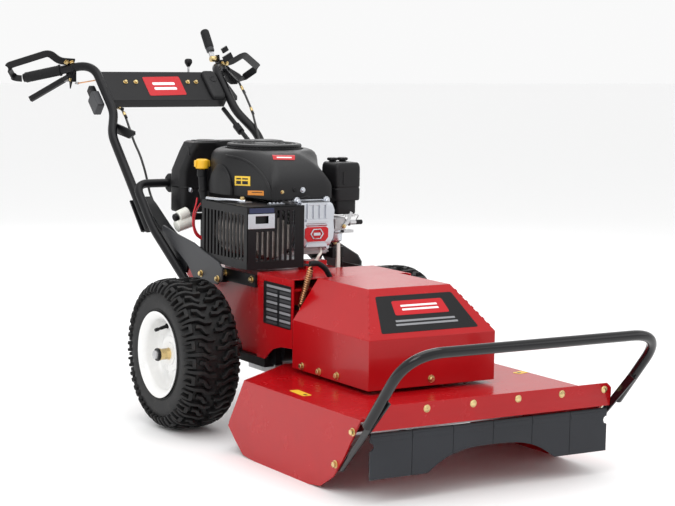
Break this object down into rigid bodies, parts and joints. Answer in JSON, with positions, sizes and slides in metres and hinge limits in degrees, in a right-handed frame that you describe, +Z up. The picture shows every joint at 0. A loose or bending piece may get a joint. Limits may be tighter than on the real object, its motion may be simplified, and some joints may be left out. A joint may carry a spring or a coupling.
{
  "type": "brush mower",
  "caption": "Walk-behind brush mower: floating front cutting deck with hood, rubber flaps and bumper, engine over two driven wheels, tube handle with console.",
  "frame": {"origin": "centre of the bounding box, on the ground", "axes": "+Z up, -Y is the front, where the cutting deck is, +X is the operator's left"},
  "size_m": [0.9212, 2.265, 1.1167],
  "materials": {
    "red_paint": "gloss powder coat",
    "black_paint": "satin powder coat",
    "gloss_black_paint": "gloss",
    "grey_paint": "satin",
    "guard_paint": "matt heat-proof paint",
    "white_paint": "gloss",
    "zinc_yellow": "yellow zinc plate",
    "bare_steel": "machined",
    "spring_steel": "copper-coloured plate",
    "exhaust_steel": "heat-stained",
    "cast_alloy": "as cast",
    "bright_alloy": "bright cast",
    "charcoal_plastic": "moulded",
    "white_plastic": "moulded",
    "yellow_plastic": "moulded",
    "grip_rubber": "matt",
    "flap_rubber": "matt",
    "belt_rubber": "matt",
    "cable_sheath": "satin",
    "tyre_rubber": "matt"
  },
  "bodies": {
    "chassis": {"frame_shell": "red_paint", "engine_plate": "red_paint", "lower_frame": "black_paint", "transaxle": "cast_alloy", "gusset_plates": "grey_paint", "side_brackets": "black_paint", "chassis_bolts": "zinc_yellow", "handle_tube_right": "black_paint", "handle_tube_left": "black_paint", "cross_tube": "black_paint", "console_panel": "black_paint", "control_pod": "charcoal_plastic", "grip_right": "grip_rubber", "grip_left": "grip_rubber", "hand_guard_right": "black_paint", "hand_guard_left": "black_paint", "control_cables": "cable_sheath", "tension_spring": "spring_steel", "engine_block": "cast_alloy", "cylinder_head": "cast_alloy", "valve_cover": "bright_alloy", "blower_housing": "charcoal_plastic", "fan_screen": "charcoal_plastic", "muffler": "exhaust_steel", "muffler_guard": "guard_paint", "air_cleaner": "charcoal_plastic", "carburettor": "cast_alloy", "oil_fill_tube": "charcoal_plastic", "fuel_tank": "charcoal_plastic", "vent_canister": "white_plastic", "belt": "belt_rubber"},
    "wheel_right": {"tyre_right": "tyre_rubber", "rim_right": "white_paint", "axle_hub_right": "zinc_yellow"},
    "wheel_left": {"tyre_left": "tyre_rubber", "rim_left": "white_paint", "axle_hub_left": "zinc_yellow"},
    "deck": {"deck_shell": "red_paint", "deck_hood": "red_paint", "front_lip": "red_paint", "bumper": "gloss_black_paint", "deck_bolts": "zinc_yellow", "spindle_housing": "black_paint", "pivot_bracket": "black_paint"},
    "blade": {"spindle": "bare_steel", "blade": "bare_steel"},
    "crank": {"crankshaft": "bare_steel"},
    "fuel_cap": {"fuel_cap": "charcoal_plastic"},
    "dipstick": {"dipstick": "yellow_plastic"},
    "clutch_lever": {"clutch_lever": "grip_rubber"},
    "presence_lever_right": {"presence_lever_right": "black_paint"},
    "presence_lever_left": {"presence_lever_left": "black_paint"},
    "throttle_lever": {"throttle_lever": "charcoal_plastic"},
    "flap_1": {"flap_1": "flap_rubber"},
    "flap_2": {"flap_2": "flap_rubber"},
    "flap_3": {"flap_3": "flap_rubber"},
    "flap_4": {"flap_4": "flap_rubber"},
    "flap_5": {"flap_5": "flap_rubber"},
    "flap_6": {"flap_6": "flap_rubber"}
  },
  "joints": [
    {"name": "wheel_right_spin", "type": "hinge", "parent": "chassis", "child": "wheel_right", "pos_m": [-0.3455, 0.05725, 0.212], "axis": [1, 0, 0], "continuous": true},
    {"name": "wheel_left_spin", "type": "hinge", "parent": "chassis", "child": "wheel_left", "pos_m": [0.3455, 0.05725, 0.212], "axis": [1, 0, 0], "continuous": true},
    {"name": "deck_roll", "type": "hinge", "parent": "chassis", "child": "deck", "pos_m": [0, -0.24275, 0.25], "axis": [0, 1, 0], "range_deg": [-12, 12], "deforming": ["belt"]},
    {"name": "blade_spin", "type": "hinge", "parent": "deck", "child": "blade", "pos_m": [0, -0.55475, 0.1], "axis": [0, 0, 1], "continuous": true},
    {"name": "crank_spin", "type": "hinge", "parent": "chassis", "child": "crank", "pos_m": [0, 0.22225, 0.33], "axis": [0, 0, 1], "continuous": true},
    {"name": "clutch_lever_swing", "type": "hinge", "parent": "chassis", "child": "clutch_lever", "pos_m": [0.232, 0.99125, 1.015], "axis": [1, 0, 0], "range_deg": [0, 60]},
    {"name": "presence_right_squeeze", "type": "hinge", "parent": "chassis", "child": "presence_lever_right", "pos_m": [-0.268, 1.01925, 0.957], "axis": [0.674, 0.7115, -0.1988], "range_deg": [0, 16], "stiffness_Nm_per_rad": 0.8, "springref_deg": -17.19},
    {"name": "presence_left_squeeze", "type": "hinge", "parent": "chassis", "child": "presence_lever_left", "pos_m": [0.268, 1.01925, 0.957], "axis": [0.674, -0.7115, 0.1988], "range_deg": [0, 16], "stiffness_Nm_per_rad": 0.8, "springref_deg": -17.19},
    {"name": "throttle_swing", "type": "hinge", "parent": "chassis", "child": "throttle_lever", "pos_m": [0.13, 0.97125, 0.945], "axis": [1, 0, 0], "range_deg": [-20, 20]},
    {"name": "fuel_cap_lift", "type": "slide", "parent": "chassis", "child": "fuel_cap", "axis": [0, 0, 1], "range_m": [0, 0.06]},
    {"name": "dipstick_lift", "type": "slide", "parent": "chassis", "child": "dipstick", "axis": [0, 0, 1], "range_m": [0, 0.05]},
    {"name": "flap_1_swing", "type": "hinge", "parent": "deck", "child": "flap_1", "pos_m": [-0.29833, -0.94075, 0.17], "axis": [1, 0, 0], "range_deg": [-60, 15]},
    {"name": "flap_2_swing", "type": "hinge", "parent": "deck", "child": "flap_2", "pos_m": [-0.179, -0.94075, 0.17], "axis": [1, 0, 0], "range_deg": [-60, 15]},
    {"name": "flap_3_swing", "type": "hinge", "parent": "deck", "child": "flap_3", "pos_m": [-0.05967, -0.94075, 0.17], "axis": [1, 0, 0], "range_deg": [-60, 15]},
    {"name": "flap_4_swing", "type": "hinge", "parent": "deck", "child": "flap_4", "pos_m": [0.05967, -0.94075, 0.17], "axis": [1, 0, 0], "range_deg": [-60, 15]},
    {"name": "flap_5_swing", "type": "hinge", "parent": "deck", "child": "flap_5", "pos_m": [0.179, -0.94075, 0.17], "axis": [1, 0, 0], "range_deg": [-60, 15]},
    {"name": "flap_6_swing", "type": "hinge", "parent": "deck", "child": "flap_6", "pos_m": [0.29833, -0.94075, 0.17], "axis": [1, 0, 0], "range_deg": [-60, 15]}
  ],
  "couplings": [
    {"joint": "crank_spin", "follows": "blade_spin", "ratio": 1.2632}
  ]
}
